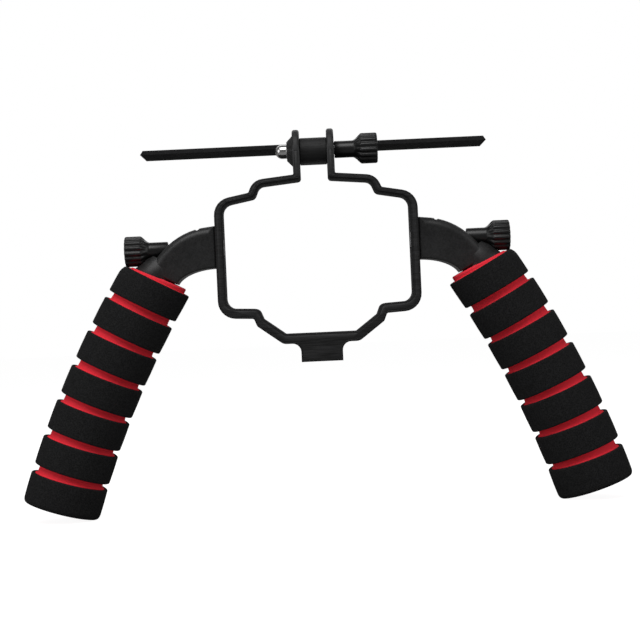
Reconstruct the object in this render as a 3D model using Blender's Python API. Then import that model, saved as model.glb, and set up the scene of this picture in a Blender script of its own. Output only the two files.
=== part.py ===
"""Two-handed carrying bracket: a split hoop, a tilting top plate and two padded side handles.

Metres, +Z up. The front of the hoop faces -Y, X runs across both handles, and the origin is the
middle of the flat face under the hoop's foot. The hoop closes round a small device: a hand screw
pulls its two ears together on the hub of the tilting plate. Each handle turns about the hand screw
that clamps it to the side of the hoop.
"""

import math

import bmesh
import bpy
from mathutils import Vector

# ---- fits -------------------------------------------------------------------------------------
GAP = 0.0003                    # between parts that touch
HUB_PLAY = 0.0004               # each side of the hub, between the ears
NECK_PLAY = 0.0007              # round a screw's neck in its counterbore
NUT_PLAY = 0.00015              # each side of a nut in its pocket

# ---- hoop -------------------------------------------------------------------------------------
HOOP_HALF_WIDTH = 0.0529        # outside of the straight sides
HOOP_DEPTH = 0.0224
HOOP_WALL = 0.0040              # at the sides
WALL_SHIFT = 0.0013             # how far the inside sits above the outside's middle
HOOP_TOP = 0.0974               # where the ears start, above the foot's face
EDGE_BREAK = 0.0003             # small chamfer on the hoop's front and back edges
CORNER_RADIUS = 0.0093          # the four big outside corners
SHOULDER_INSET = 0.0183         # from a side in to the step beside each shoulder
LOWER_SHOULDER_HEIGHT = 0.0244  # at the side, where it meets the corner
LOWER_SHOULDER_FALL = 0.0009    # how much lower its inner end is
LOWER_STEP_HEIGHT = 0.0040
LOWER_STEP_LEAN = 0.0016
UPPER_SHOULDER_HEIGHT = 0.0856  # at the side
UPPER_SHOULDER_RISE = 0.0034    # how much higher its inner end is
UPPER_STEP_HEIGHT = 0.0064
UPPER_STEP_LEAN = 0.0026
BELLY_RADIUS = 0.0050           # rounding where the underside turns up
STEP_FOOT_RADIUS = 0.0020
STEP_HOLLOW_RADIUS = 0.0012     # rounding in the hollow of each step
STEP_CREST_RADIUS = 0.0080
FOOT_HALF_WIDTH = 0.0108
FOOT_HEIGHT = 0.0097
FOOT_FILLET = 0.0044
FLAT_HALF_WIDTH = 0.0198        # flat run of the underside beside the foot

# ---- ears and the hub between them -------------------------------------------------------------
HUB_WIDTH = 0.0134
HUB_RADIUS = 0.0068
EAR_THICKNESS = 0.00375
EAR_CORNER_RADIUS = 0.0006
EAR_ROOT_FILLET = 0.0018        # on the inside, where the hoop's top turns up into an ear
AXIS_HEIGHT = 0.1104            # clamp screw's axis above the foot's face
BOSS_BASE_RADIUS = 0.00815      # cone on the left ear
BOSS_TIP_RADIUS = 0.0050
BOSS_LENGTH = 0.0030

# ---- tilting plate -----------------------------------------------------------------------------
PLATE_LENGTH = 0.1842
PLATE_DEPTH = 0.0350
PLATE_THICKNESS = 0.0022
PLATE_LIFT = 0.0029             # underside above the clamp screw's axis
PLATE_EAR_CLEARANCE = 0.0008    # from the round of the ears to the plate's near edge
PLATE_END_BEVEL = 0.0015
GUSSET_REACH = 0.018            # how far the hub's web runs under the plate
HUB_FLAT_REACH = 0.0085         # flat underside of the hub, behind the axis
HUB_SHOULDER = 0.0007           # slope from the hub's top down to the plate's near edge

# ---- hand screws, M5 ---------------------------------------------------------------------------
BOLT_RADIUS = 0.0025
BOLT_HEAD_RADIUS = 0.0040       # hexagon head moulded into the knob, across corners
BOLT_HEAD_LENGTH = 0.0035
BOLT_REACH = 0.0285             # past the end of the neck
BOLT_TIP_CHAMFER = 0.0006
KNOB_RADIUS = 0.0080
KNOB_LENGTH = 0.0087
KNOB_CHAMFER = 0.0007
KNOB_CONE = 0.0034
NECK_RADIUS = 0.00445
NECK_LENGTH = 0.0104
FLUTES = 16
FLUTE_DEPTH = 0.0008
FLUTE_POINTS = 3

# ---- nuts, M5 ----------------------------------------------------------------------------------
NUT_ACROSS_FLATS = 0.0080
THIN_NUT_THICKNESS = 0.0027
CAP_NUT_LENGTH = 0.0100
CAP_NUT_HEX_LENGTH = 0.0040
CAP_NUT_DOME_RADIUS = 0.00365
CAP_NUT_TIP_FLAT = 0.0005       # radius of the small flat on the dome
CAP_NUT_BORE_DEPTH = 0.0082
BOSS_SEAT_DEPTH = 0.0013        # how far the cap nut's pocket goes into the ear

# ---- arms --------------------------------------------------------------------------------------
SIDE_AXIS_HEIGHT = 0.0616       # side screws' axis above the foot's face
ARM_DEPTH = 0.0190
ARM_BASE_BELOW_AXIS = 0.0107
ARM_BASE_ABOVE_AXIS = 0.0111
ARM_TOP_ROUND = 0.0042          # along the upper edge
ARM_LOW_ROUND = 0.0010          # along the base and lower edges
ARM_LENGTH_TO_NECK = 0.0248     # from the arm's base face to the neck's seat
ARM_END_INBOARD = 0.0110        # arm's end, inboard and outboard of the grip's centre line
ARM_END_OUTBOARD = 0.0056
ARM_BASE_PULL_LOW = 0.0080      # how far each edge's curve follows its ends' directions
ARM_END_PULL_LOW = 0.0062
ARM_BASE_PULL_HIGH = 0.0140
ARM_END_PULL_HIGH = 0.0180
ARM_NOTCH_REACH = 0.0092        # small notch across the top, from the base face
ARM_NOTCH_RADIUS = 0.0012
ARM_NOTCH_DEPTH = 0.0006
ARM_STEPS = 12
ARM_EDGE_STEPS = 4
CORE_RADIUS = 0.0095            # of the round core inside the foam
CORE_SHORT = 0.0008             # how far the core stops inside the foam's lower end

# ---- foam grips --------------------------------------------------------------------------------
GRIP_START_OUTBOARD = 0.0323    # top of the first band, from the hoop's side
GRIP_START_DROP = 0.0157        # the same point below the side screws' axis
GRIP_TOP_ANGLE = 32.5           # degrees from straight down
GRIP_END_ANGLE = 17.7
FACE_LAG = 1.1                  # degrees that the grooves are squarer to the hoop than that
FACE_TOP_ANGLE = 28.5           # and the steepest that they get
BAND_COUNT = 7
BAND_LENGTH = 0.01515
LAST_BAND_LENGTH = 0.0163
GROOVE_WIDTH = 0.0039
GRIP_RADIUS_TOP = 0.0191
GRIP_RADIUS_END = 0.0205
SKIN_THICKNESS = 0.0016
GROOVE_DEPTH = 0.0031
SLEEVE_COLLAR = 0.0027          # bare foam above the first band
BAND_EDGE = 0.0006              # rounding of a band's edges
LAST_EDGE = 0.0026              # rounding of the last band's lower end
KNOB_DENT_GAP = 0.0003          # where the foam's top corner is pressed in by the knob

OVERSHOOT = 0.0020              # how far a cutter runs past the face that it opens
SUNK = 0.0005                   # how far a joined shape starts inside its neighbour
ROUND_STEPS = 16                # sides of screws and bores
FINE_STEPS = 24                 # sides of the boss and of the room round a knob
GRIP_STEPS = 20                 # sides of foam and core
DOME_STEPS = 5
ARC_STEP = math.radians(14.0)   # along the hoop's rounded corners

# ---- sizes that follow -------------------------------------------------------------------------
EAR_INNER = HUB_WIDTH / 2 + HUB_PLAY
EAR_OUTER = EAR_INNER + EAR_THICKNESS
EAR_RADIUS = HOOP_DEPTH / 2
BOLT_BORE = BOLT_RADIUS + GAP
NUT_CORNER_RADIUS = NUT_ACROSS_FLATS / 2 / math.cos(math.pi / 6)
POCKET_CORNER_RADIUS = (NUT_ACROSS_FLATS / 2 + NUT_PLAY) / math.cos(math.pi / 6)
SIDE_INNER = HOOP_HALF_WIDTH - HOOP_WALL
ARM_BASE_X = HOOP_HALF_WIDTH + GAP
NECK_SEAT_X = ARM_BASE_X + ARM_LENGTH_TO_NECK
GRIP_LENGTH = (BAND_COUNT - 1) * (BAND_LENGTH + GROOVE_WIDTH) + LAST_BAND_LENGTH


# ---- making objects ----------------------------------------------------------------------------

def clear_scene():
    """Remove every object that the new file holds."""
    for item in list(bpy.data.objects):
        bpy.data.objects.remove(item, do_unlink=True)


def make_material(name, colour, roughness, metallic=0.0):
    """One Principled material."""
    material = bpy.data.materials.new(name)
    material.use_nodes = True
    shader = material.node_tree.nodes["Principled BSDF"]
    shader.inputs["Base Color"].default_value = (*colour, 1.0)
    shader.inputs["Roughness"].default_value = roughness
    shader.inputs["Metallic"].default_value = metallic
    return material


def make_object(name, bm, material=None, parent=None, origin=(0.0, 0.0, 0.0)):
    """Turn a closed mesh into an object whose origin is at the given world point."""
    bmesh.ops.recalc_face_normals(bm, faces=bm.faces)
    bmesh.ops.translate(bm, verts=bm.verts, vec=-Vector(origin))
    mesh = bpy.data.meshes.new(name)
    bm.to_mesh(mesh)
    bm.free()
    mesh.shade_smooth()
    mesh.set_sharp_from_angle(angle=math.radians(35.0))
    item = bpy.data.objects.new(name, mesh)
    bpy.context.scene.collection.objects.link(item)
    item.location = origin
    if material:
        mesh.materials.append(material)
    if parent:
        item.parent = parent
        item.location = Vector(origin) - parent.location
    return item


def make_pivot(name, point, parent=None):
    """An empty on a joint's axis."""
    pivot = bpy.data.objects.new(name, None)
    bpy.context.scene.collection.objects.link(pivot)
    pivot.location = point
    if parent:
        pivot.parent = parent
        pivot.location = Vector(point) - parent.location
    return pivot


def combine(item, tool, operation):
    """Add or cut with a hidden tool object, which moves with the item."""
    tool.hide_render = True
    tool.display_type = "WIRE"
    modifier = item.modifiers.new(operation.lower(), "BOOLEAN")
    modifier.operation = operation
    modifier.solver = "EXACT"
    modifier.object = tool


def skin_rings(rings, closed_loop=False):
    """Join rings of points, one after the other, into a closed mesh."""
    bm = bmesh.new()
    loops = [[bm.verts.new(point) for point in ring] for ring in rings]
    count = len(rings[0])
    pairs = list(zip(loops, loops[1:]))
    if closed_loop:
        pairs.append((loops[-1], loops[0]))
    for first, second in pairs:
        for i in range(count):
            j = (i + 1) % count
            bm.faces.new((first[i], first[j], second[j], second[i]))
    if not closed_loop:
        bm.faces.new(loops[0])
        bm.faces.new(loops[-1])
    return bm


# ---- outlines ----------------------------------------------------------------------------------

def rounded_outline(corners):
    """Points along straight runs between corners (x, z, radius), each corner rounded."""
    points = []
    count = len(corners)
    for i, (x, z, radius) in enumerate(corners):
        here = Vector((x, z))
        before = Vector(corners[i - 1][:2]) - here
        after = Vector(corners[(i + 1) % count][:2]) - here
        if radius <= 0.0:
            points.append(here)
            continue
        half_angle = before.angle(after) / 2
        reach = radius / math.tan(half_angle)
        start = here + before.normalized() * reach
        centre = here + (before.normalized() + after.normalized()).normalized() * (
            radius / math.sin(half_angle))
        spoke = start - centre
        turn = math.pi - 2 * half_angle
        if before.cross(after) > 0.0:
            turn = -turn
        steps = math.ceil(abs(turn) / ARC_STEP)
        for step in range(steps + 1):
            angle = turn * step / steps
            cos_a, sin_a = math.cos(angle), math.sin(angle)
            points.append(centre + Vector((spoke.x * cos_a - spoke.y * sin_a,
                                           spoke.x * sin_a + spoke.y * cos_a)))
    return points


def inset_point(before, here, after, distance):
    """A corner moved so that both of its sides move left by the distance."""
    first = (here - before).normalized()
    second = (after - here).normalized()
    left_a = Vector((-first.y, first.x))
    left_b = Vector((-second.y, second.x))
    return here + (left_a + left_b) * (distance / (1.0 + left_a.dot(left_b)))


def bezier(start, pull_a, pull_b, end, steps):
    """Points along one cubic curve, without its end."""
    points = []
    for step in range(steps):
        t = step / steps
        u = 1.0 - t
        points.append(start * u**3 + pull_a * (3 * u * u * t) + pull_b * (3 * u * t * t) + end * t**3)
    return points


def edged_prism(outline, radii, half_depth, steps):
    """Extrude an (x, z) outline along Y, with each corner's own edge radius at both ends.

    The outline runs counter-clockwise, so that its inside is on the left.
    """
    count = len(outline)

    def ring(angle, side):
        points = []
        for i, here in enumerate(outline):
            radius = radii[i]
            inset = radius * (1.0 - math.cos(angle))
            spot = inset_point(outline[i - 1], here, outline[(i + 1) % count], inset)
            y = side * (half_depth - radius * (1.0 - math.sin(angle)))
            points.append((spot.x, y, spot.y))
        return points

    angles = [math.pi / 2 * step / steps for step in range(steps + 1)]
    rings = [ring(angle, -1.0) for angle in reversed(angles)]
    rings += [ring(angle, 1.0) for angle in angles]
    return skin_rings(rings)


def turned(profile, centre_z, steps=ROUND_STEPS, phase=0.0):
    """Spin (x, radius) points about an X axis at the given height."""
    rings = []
    for x, radius in profile:
        ring = []
        for i in range(steps):
            angle = 2 * math.pi * i / steps + phase
            ring.append((x, radius * math.sin(angle), centre_z + radius * math.cos(angle)))
        rings.append(ring)
    return skin_rings(rings)


# ---- hoop --------------------------------------------------------------------------------------

def hoop_side_corners():
    """Right-hand outer corners (x, z, radius) from the flat underside up to the clamp's top run."""
    step_x = HOOP_HALF_WIDTH - SHOULDER_INSET
    lower_end = LOWER_SHOULDER_HEIGHT - LOWER_SHOULDER_FALL
    upper_end = UPPER_SHOULDER_HEIGHT + UPPER_SHOULDER_RISE
    return [
        (FLAT_HALF_WIDTH, FOOT_HEIGHT, BELLY_RADIUS),
        (step_x - LOWER_STEP_LEAN, lower_end - LOWER_STEP_HEIGHT, STEP_FOOT_RADIUS),
        (step_x, lower_end, STEP_HOLLOW_RADIUS),
        (HOOP_HALF_WIDTH, LOWER_SHOULDER_HEIGHT, CORNER_RADIUS),
        (HOOP_HALF_WIDTH, UPPER_SHOULDER_HEIGHT, CORNER_RADIUS),
        (step_x, upper_end, STEP_HOLLOW_RADIUS),
        (step_x - UPPER_STEP_LEAN, upper_end + UPPER_STEP_HEIGHT, STEP_CREST_RADIUS),
    ]


def inner_side_corners(outer):
    """The same corners on the inside: each set in by the wall, and all lifted by the shift."""
    run_in = Vector((0.0, FOOT_HEIGHT))
    run_out = Vector((EAR_INNER, HOOP_TOP))
    spots = [run_in] + [Vector(corner[:2]) for corner in outer] + [run_out]
    lift = Vector((0.0, WALL_SHIFT))
    corners = []
    for before, here, after, corner in zip(spots, spots[1:], spots[2:], outer):
        spot = inset_point(before, here, after, HOOP_WALL) + lift
        hollow = (here - before).cross(after - here) < 0.0
        radius = corner[2] + HOOP_WALL / 2 if hollow else max(corner[2] - HOOP_WALL, 0.0)
        corners.append((spot.x, spot.y, radius))
    return corners


def hoop_outline():
    """The whole front outline, counter-clockwise: split at the top, with both ears."""
    outer = hoop_side_corners()
    inner = inner_side_corners(outer)
    ear_top = AXIS_HEIGHT + EAR_RADIUS
    slope = (outer[-1][1] - HOOP_TOP) / (outer[-1][0] - EAR_OUTER)
    inner_top = inner[-1][1] + slope * (EAR_INNER - inner[-1][0])
    right = [(FOOT_HALF_WIDTH, 0.0, 0.0), (FOOT_HALF_WIDTH, FOOT_HEIGHT, FOOT_FILLET)]
    right += outer
    right += [(EAR_OUTER, HOOP_TOP, EAR_CORNER_RADIUS), (EAR_OUTER, ear_top, EAR_CORNER_RADIUS),
              (EAR_INNER, ear_top, EAR_CORNER_RADIUS), (EAR_INNER, inner_top, EAR_ROOT_FILLET)]
    right += reversed(inner)
    left = [(-x, z, radius) for x, z, radius in reversed(right)]
    return rounded_outline(right + left)


def ear_trim():
    """Everything outside the round of the ears, seen from the side."""
    edge = EAR_RADIUS + OVERSHOOT
    outline = []
    for step in range(FINE_STEPS // 2 + 1):
        angle = 2 * math.pi * step / FINE_STEPS
        outline.append((-EAR_RADIUS * math.cos(angle), EAR_RADIUS * math.sin(angle)))
    outline += [(edge, 0.0), (edge, edge), (-edge, edge), (-edge, 0.0)]
    reach = EAR_OUTER + OVERSHOOT
    rings = [[(x, y, AXIS_HEIGHT + z) for y, z in outline] for x in (-reach, reach)]
    return make_object("ear_trim", skin_rings(rings))


def make_hoop(material):
    """Split hoop with foot, ears, the cap nut's cone and the side nuts' pockets."""
    outline = hoop_outline()
    bm = edged_prism(outline, [EDGE_BREAK] * len(outline), HOOP_DEPTH / 2, 1)
    hoop = make_object("hoop_frame", bm, material)
    combine(hoop, ear_trim(), "DIFFERENCE")
    boss_tip = -EAR_OUTER - BOSS_LENGTH
    cone = [(-EAR_OUTER + SUNK, BOSS_BASE_RADIUS), (-EAR_OUTER, BOSS_BASE_RADIUS),
            (boss_tip, BOSS_TIP_RADIUS)]
    combine(hoop, make_object("boss_cone", turned(cone, AXIS_HEIGHT, FINE_STEPS)), "UNION")
    bore = [(boss_tip - OVERSHOOT, BOLT_BORE), (EAR_OUTER + OVERSHOOT, BOLT_BORE)]
    combine(hoop, make_object("ear_bore", turned(bore, AXIS_HEIGHT)), "DIFFERENCE")
    pocket = [(boss_tip - OVERSHOOT, POCKET_CORNER_RADIUS),
              (-EAR_OUTER + BOSS_SEAT_DEPTH, POCKET_CORNER_RADIUS)]
    combine(hoop, make_object("cap_nut_pocket", turned(pocket, AXIS_HEIGHT, 6)), "DIFFERENCE")
    for side, name in ((-1, "left"), (1, "right")):
        mouth = side * (SIDE_INNER - OVERSHOOT)
        bore = [(mouth, BOLT_BORE), (side * (HOOP_HALF_WIDTH + OVERSHOOT), BOLT_BORE)]
        tool = make_object(name + "_side_bore", turned(bore, SIDE_AXIS_HEIGHT))
        combine(hoop, tool, "DIFFERENCE")
        pocket = [(mouth, POCKET_CORNER_RADIUS),
                  (side * (SIDE_INNER + THIN_NUT_THICKNESS + GAP), POCKET_CORNER_RADIUS)]
        tool = make_object(name + "_nut_pocket", turned(pocket, SIDE_AXIS_HEIGHT, 6, math.pi / 6))
        combine(hoop, tool, "DIFFERENCE")
    return hoop


# ---- nuts and hand screws ----------------------------------------------------------------------

def make_cap_nut(material, parent):
    """Cap nut whose hexagon sits in the cone and whose dome stands out of it."""
    seat = -EAR_OUTER + BOSS_SEAT_DEPTH - GAP
    shoulder = seat - CAP_NUT_HEX_LENGTH
    tip = seat - CAP_NUT_LENGTH
    hexagon = make_object("cap_nut_hexagon", turned(
        [(seat, NUT_CORNER_RADIUS), (shoulder, NUT_CORNER_RADIUS)], AXIS_HEIGHT, 6))
    straight = tip + CAP_NUT_DOME_RADIUS
    dome = [(seat - SUNK, CAP_NUT_DOME_RADIUS), (straight, CAP_NUT_DOME_RADIUS)]
    for step in range(1, DOME_STEPS):
        angle = math.pi / 2 * step / DOME_STEPS
        dome.append((straight - CAP_NUT_DOME_RADIUS * math.sin(angle),
                     CAP_NUT_DOME_RADIUS * math.cos(angle)))
    dome.append((tip, CAP_NUT_TIP_FLAT))
    nut = make_object("acorn_nut", turned(dome, AXIS_HEIGHT), material, parent)
    combine(nut, hexagon, "UNION")
    bore = [(seat + OVERSHOOT, BOLT_BORE), (seat - CAP_NUT_BORE_DEPTH, BOLT_BORE)]
    combine(nut, make_object("cap_nut_bore", turned(bore, AXIS_HEIGHT)), "DIFFERENCE")
    return nut


def make_thin_nut(name, side, material, parent):
    """Thin nut sunk in the hoop's inner face, round the end of a side screw."""
    span = (side * SIDE_INNER, side * (SIDE_INNER + THIN_NUT_THICKNESS))
    hexagon = turned([(x, NUT_CORNER_RADIUS) for x in span], SIDE_AXIS_HEIGHT, 6, math.pi / 6)
    nut = make_object(name, hexagon, material, parent)
    bore = [(span[0] - side * OVERSHOOT, BOLT_BORE), (span[1] + side * OVERSHOOT, BOLT_BORE)]
    combine(nut, make_object(name + "_bore", turned(bore, SIDE_AXIS_HEIGHT)), "DIFFERENCE")
    return nut


def make_knob(name, neck_x, side, height, material, parent):
    """Fluted plastic knob with a cone and a neck. The neck's end is at neck_x."""
    head_x = neck_x + side * (NECK_LENGTH + KNOB_CONE)
    end_x = head_x + side * KNOB_LENGTH
    profile = [(neck_x, NECK_RADIUS, 0.0), (neck_x + side * NECK_LENGTH, NECK_RADIUS, 0.0),
               (head_x, KNOB_RADIUS, FLUTE_DEPTH),
               (end_x - side * KNOB_CHAMFER, KNOB_RADIUS, FLUTE_DEPTH),
               (end_x, KNOB_RADIUS - KNOB_CHAMFER, FLUTE_DEPTH)]
    rings = []
    sides = FLUTES * FLUTE_POINTS
    for x, radius, depth in profile:
        ring = []
        for i in range(sides):
            angle = 2 * math.pi * i / sides
            wave = 0.5 + 0.5 * math.cos(FLUTES * angle)
            r = radius - depth * wave
            ring.append((x, r * math.sin(angle), height + r * math.cos(angle)))
        rings.append(ring)
    knob = make_object(name, skin_rings(rings), material, parent, (neck_x, 0.0, height))
    head_depth = NECK_LENGTH + KNOB_CONE
    bore = [(neck_x - side * OVERSHOOT, BOLT_BORE), (neck_x + side * (head_depth + SUNK), BOLT_BORE)]
    combine(knob, make_object(name + "_bore", turned(bore, height)), "DIFFERENCE")
    room = BOLT_HEAD_RADIUS + GAP / math.cos(math.pi / 6)
    pocket = [(neck_x + side * head_depth, room),
              (neck_x + side * (head_depth + BOLT_HEAD_LENGTH + 2 * GAP), room)]
    combine(knob, make_object(name + "_head_pocket", turned(pocket, height, 6)), "DIFFERENCE")
    return knob


def make_bolt(name, neck_x, side, height, material, parent):
    """Steel screw with its hexagon head inside the knob."""
    head_start = neck_x + side * (NECK_LENGTH + KNOB_CONE + GAP)
    head_end = head_start + side * BOLT_HEAD_LENGTH
    tip = neck_x - side * BOLT_REACH
    shank = [(tip, BOLT_RADIUS - BOLT_TIP_CHAMFER), (tip + side * BOLT_TIP_CHAMFER, BOLT_RADIUS),
             (head_start + side * SUNK, BOLT_RADIUS)]
    bolt = make_object(name, turned(shank, height), material, parent, (neck_x, 0.0, height))
    head = [(head_start, BOLT_HEAD_RADIUS), (head_end, BOLT_HEAD_RADIUS)]
    combine(bolt, make_object(name + "_head", turned(head, height, 6)), "UNION")
    return bolt


# ---- tilting plate -----------------------------------------------------------------------------

def make_tilt_plate(material, pivot):
    """Thin flat plate with the hub that the ears squeeze."""
    near = EAR_RADIUS + PLATE_EAR_CLEARANCE
    far = near + PLATE_DEPTH
    low = AXIS_HEIGHT + PLATE_LIFT
    high = low + PLATE_THICKNESS
    half = PLATE_LENGTH / 2
    section = [(-half, low), (half, low), (half - PLATE_END_BEVEL, high), (-half + PLATE_END_BEVEL, high)]
    rings = [[(x, y, z) for x, z in section] for y in (near, far)]
    plate = make_object("tilt_plate", skin_rings(rings), material, pivot,
                        (0.0, 0.0, AXIS_HEIGHT))
    middle = PLATE_LIFT + PLATE_THICKNESS / 2
    outline = []
    for step in range(FINE_STEPS // 2 + 1):
        angle = math.pi / 2 + 2 * math.pi * step / FINE_STEPS
        outline.append((HUB_RADIUS * math.cos(angle), HUB_RADIUS * math.sin(angle)))
    outline += [(HUB_FLAT_REACH, -HUB_RADIUS), (near + GUSSET_REACH, middle - GAP),
                (near + PLATE_THICKNESS / 2, middle + GAP),
                (near - HUB_SHOULDER, HUB_RADIUS - HUB_SHOULDER)]
    rings = [[(x, y, AXIS_HEIGHT + z) for y, z in outline] for x in (-HUB_WIDTH / 2, HUB_WIDTH / 2)]
    combine(plate, make_object("plate_hub", skin_rings(rings)), "UNION")
    bore = [(-HUB_WIDTH, BOLT_BORE), (HUB_WIDTH, BOLT_BORE)]
    combine(plate, make_object("hub_bore", turned(bore, AXIS_HEIGHT)), "DIFFERENCE")
    return plate


# ---- handles -----------------------------------------------------------------------------------

def grip_angle(distance):
    """Angle of the grip's centre line from straight down, at a distance from its first band."""
    turn = math.radians(GRIP_TOP_ANGLE - GRIP_END_ANGLE)
    return math.radians(GRIP_TOP_ANGLE) - turn * distance / GRIP_LENGTH


def grip_point(distance):
    """Centre line of the right grip: part of a circle, in (x, z)."""
    radius = GRIP_LENGTH / math.radians(GRIP_TOP_ANGLE - GRIP_END_ANGLE)
    top = math.radians(GRIP_TOP_ANGLE)
    angle = grip_angle(distance)
    x = HOOP_HALF_WIDTH + GRIP_START_OUTBOARD + radius * (math.cos(angle) - math.cos(top))
    z = SIDE_AXIS_HEIGHT - GRIP_START_DROP + radius * (math.sin(angle) - math.sin(top))
    return Vector((x, z))


def grip_radius(distance):
    """Outer radius of the foam."""
    share = min(max(distance / GRIP_LENGTH, 0.0), 1.0)
    return GRIP_RADIUS_TOP + (GRIP_RADIUS_END - GRIP_RADIUS_TOP) * share


def band_spans():
    """Start and end of each black band along the centre line."""
    spans = []
    start = 0.0
    for number in range(BAND_COUNT):
        length = LAST_BAND_LENGTH if number == BAND_COUNT - 1 else BAND_LENGTH
        spans.append((start, start + length))
        start += length + GROOVE_WIDTH
    return spans


def grip_directions(middle):
    """Along the band whose middle is given, and outward along its end faces, in (x, z)."""
    angle = grip_angle(middle)
    face = min(angle - math.radians(FACE_LAG), math.radians(FACE_TOP_ANGLE))
    along = Vector((math.sin(angle), -math.cos(angle)))
    outward = Vector((math.cos(face), math.sin(face)))
    return along, outward


def grip_ring(middle, distance, radius, side):
    """A circle on the grip's centre line, at a distance along the straight band round middle."""
    along, outward = grip_directions(middle)
    centre = grip_point(middle) + along * (distance - middle)
    ring = []
    for i in range(GRIP_STEPS):
        turn = 2 * math.pi * (i + 0.5) / GRIP_STEPS
        spot = centre + outward * (radius * math.cos(turn))
        ring.append((side * spot.x, radius * math.sin(turn), spot.y))
    return ring


def core_rings(radius, top, bottom, side):
    """Circles of one radius from above the first band to below the last."""
    spans = band_spans()
    first = sum(spans[0]) / 2
    last = sum(spans[-1]) / 2
    rings = [grip_ring(first, top, radius, side)]
    for start, end in spans[:-1]:
        rings.append(grip_ring((start + end) / 2, end, radius, side))
    for number, (start, end) in enumerate(spans[1:]):
        rings.insert(2 * number + 2, grip_ring((start + end) / 2, start, radius, side))
    rings.append(grip_ring(last, bottom, radius, side))
    return rings


def knob_room(name, side, play):
    """Room for a side knob: the shape that its neck, cone and head sweep, with play all round."""
    neck = NECK_RADIUS + play
    head = KNOB_RADIUS + play
    cone_x = NECK_SEAT_X + NECK_LENGTH
    head_x = cone_x + KNOB_CONE
    profile = [(side * NECK_SEAT_X, neck), (side * cone_x, neck), (side * head_x, head),
               (side * (head_x + KNOB_LENGTH + 2 * GAP), head)]
    return make_object(name + "_knob_room", turned(profile, SIDE_AXIS_HEIGHT, FINE_STEPS))


def make_sleeve(name, side, material, parent, pivot_point):
    """Red foam tube: a rib under each black band, and the floors of the grooves between them."""
    spans = band_spans()
    first = sum(spans[0]) / 2
    rings = [grip_ring(first, -SLEEVE_COLLAR, grip_radius(0.0) - GROOVE_DEPTH, side)]
    for start, end in spans:
        middle = (start + end) / 2
        floor = grip_radius(middle) - GROOVE_DEPTH
        rib = grip_radius(middle) - SKIN_THICKNESS - GAP
        rings.append(grip_ring(middle, start, floor, side))
        rings.append(grip_ring(middle, start, rib, side))
        rings.append(grip_ring(middle, end, rib, side))
        if end != spans[-1][1]:
            rings.append(grip_ring(middle, end, floor, side))
    inner = core_rings(CORE_RADIUS + GAP, -SLEEVE_COLLAR, GRIP_LENGTH, side)
    sleeve = make_object(name, skin_rings(rings + inner[::-1], True), material, parent, pivot_point)
    combine(sleeve, knob_room(name, side, KNOB_DENT_GAP), "DIFFERENCE")
    return sleeve


def make_band(name, number, side, material, parent, pivot_point):
    """One black foam ring, with rounded edges."""
    start, end = band_spans()[number]
    middle = (start + end) / 2
    outer = grip_radius(middle)
    inner = outer - SKIN_THICKNESS
    low_edge = LAST_EDGE if number == BAND_COUNT - 1 else BAND_EDGE
    low_edge_in = min(low_edge, SKIN_THICKNESS / 2)
    profile = [(start, inner), (start, outer - BAND_EDGE), (start + BAND_EDGE, outer),
               (end - low_edge, outer), (end, outer - low_edge_in), (end, inner)]
    rings = [grip_ring(middle, distance, radius, side) for distance, radius in profile]
    band = make_object(name, skin_rings(rings, True), material, parent, pivot_point)
    if number == 0:
        combine(band, knob_room(name, side, KNOB_DENT_GAP), "DIFFERENCE")
    return band


def arm_outline():
    """Front outline of the right arm, counter-clockwise, with the edge radius of each point."""
    low = SIDE_AXIS_HEIGHT - ARM_BASE_BELOW_AXIS
    high = SIDE_AXIS_HEIGHT + ARM_BASE_ABOVE_AXIS
    first = sum(band_spans()[0]) / 2
    along, outward = grip_directions(first)
    foam_top = grip_point(first) - along * (first + SLEEVE_COLLAR + GAP)
    end_low = foam_top - outward * ARM_END_INBOARD
    end_high = foam_top + outward * ARM_END_OUTBOARD
    base_low = Vector((ARM_BASE_X, low))
    base_high = Vector((ARM_BASE_X, high))
    lower = bezier(base_low, base_low + Vector((ARM_BASE_PULL_LOW, 0.0)),
                   end_low - along * ARM_END_PULL_LOW, end_low, ARM_STEPS)
    upper = bezier(end_high, end_high - along * ARM_END_PULL_HIGH,
                   base_high + Vector((ARM_BASE_PULL_HIGH, 0.0)), base_high, ARM_STEPS)
    points = lower + [end_low] + upper + [base_high]
    radii = [ARM_LOW_ROUND] * (len(lower) + 2)
    radii += [ARM_TOP_ROUND] * (len(upper) - 1)
    radii.append(ARM_LOW_ROUND)
    return points, radii


def arm_notch(name, side):
    """A small round-bottomed notch across the top of the arm."""
    outline, _ = arm_outline()
    x = ARM_BASE_X + ARM_NOTCH_REACH
    top = max(point.y for point in outline if point.x > x)
    z = top + ARM_NOTCH_RADIUS - ARM_NOTCH_DEPTH
    rings = []
    for y in (-ARM_DEPTH, ARM_DEPTH):
        ring = []
        for i in range(ROUND_STEPS):
            angle = 2 * math.pi * i / ROUND_STEPS
            ring.append((side * x + ARM_NOTCH_RADIUS * math.cos(angle), y,
                         z + ARM_NOTCH_RADIUS * math.sin(angle)))
        rings.append(ring)
    return make_object(name + "_notch", skin_rings(rings))


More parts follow.
